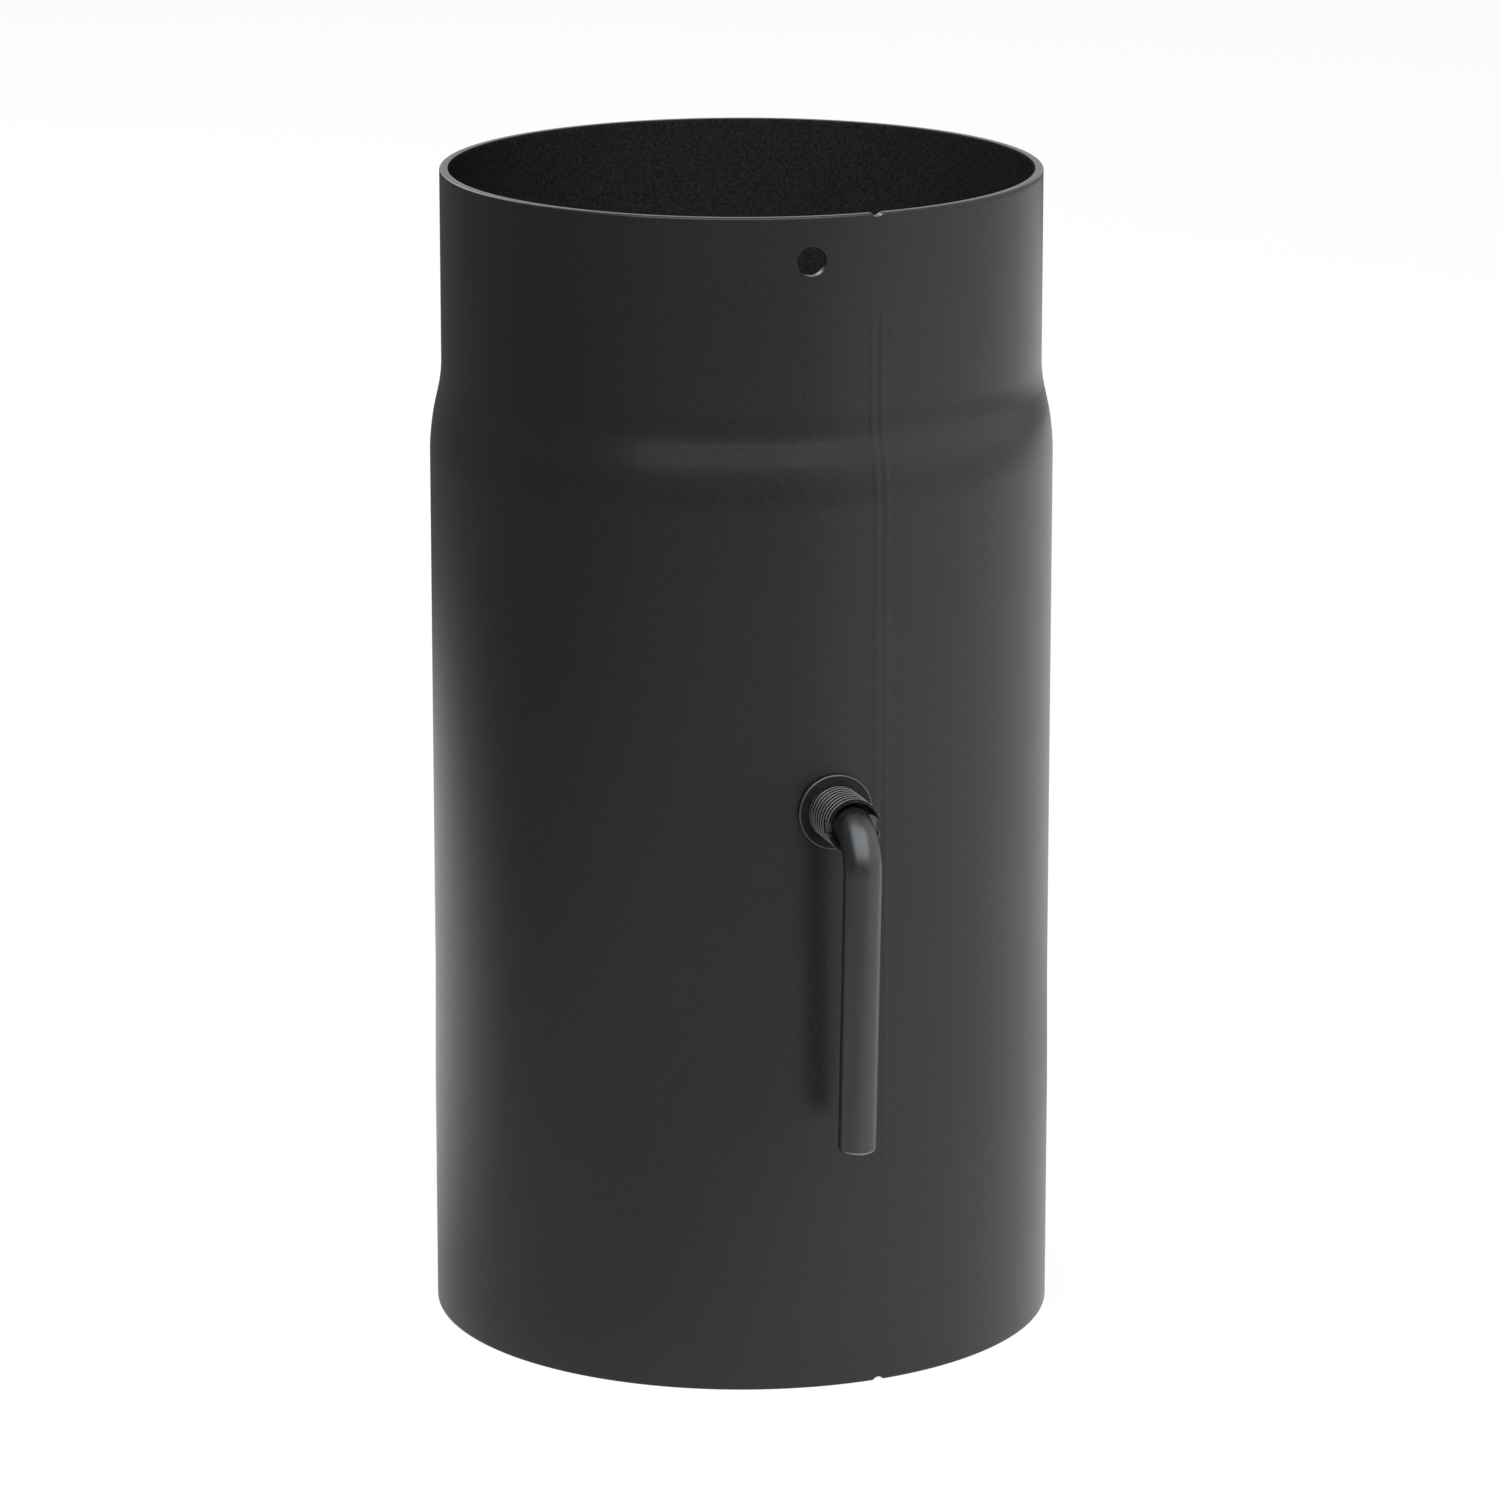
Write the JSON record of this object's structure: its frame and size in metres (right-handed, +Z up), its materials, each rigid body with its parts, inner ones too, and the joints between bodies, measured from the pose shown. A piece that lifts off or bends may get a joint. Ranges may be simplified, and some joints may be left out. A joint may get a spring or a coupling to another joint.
{
  "type": "stove pipe damper",
  "caption": "Round matte black stove pipe section with a drawn-in spigot end and a throttle plate on a shaft that a cranked rod handle outside the wall turns.",
  "frame": {"origin": "centre of the socket end's rim, which the pipe stands on", "axes": "+Z up along the pipe's axis to the spigot end; -Y towards the handle, along the damper's shaft"},
  "size_m": [0.1344, 0.1608, 0.252],
  "materials": {
    "stove_paint": "matte",
    "plain_steel": "satin"
  },
  "bodies": {
    "pipe": {"pipe_body": "stove_paint", "flanged_nut": "stove_paint", "slotted_screw": "stove_paint", "seat_washer": "plain_steel"},
    "damper": {"handle_rod": "stove_paint", "throttle_plate": "stove_paint", "plate_screw_front": "plain_steel", "plate_washer_front": "plain_steel", "plate_nut_front": "plain_steel", "plate_screw_rear": "plain_steel", "plate_washer_rear": "plain_steel", "plate_nut_rear": "plain_steel", "friction_spring": "plain_steel", "stop_washer": "plain_steel", "split_pin": "plain_steel"}
  },
  "joints": [
    {"name": "damper_turn", "type": "hinge", "parent": "pipe", "child": "damper", "pos_m": [0, 0, 0.1266], "axis": [0, 1, 0], "range_deg": [-90, 90]}
  ]
}
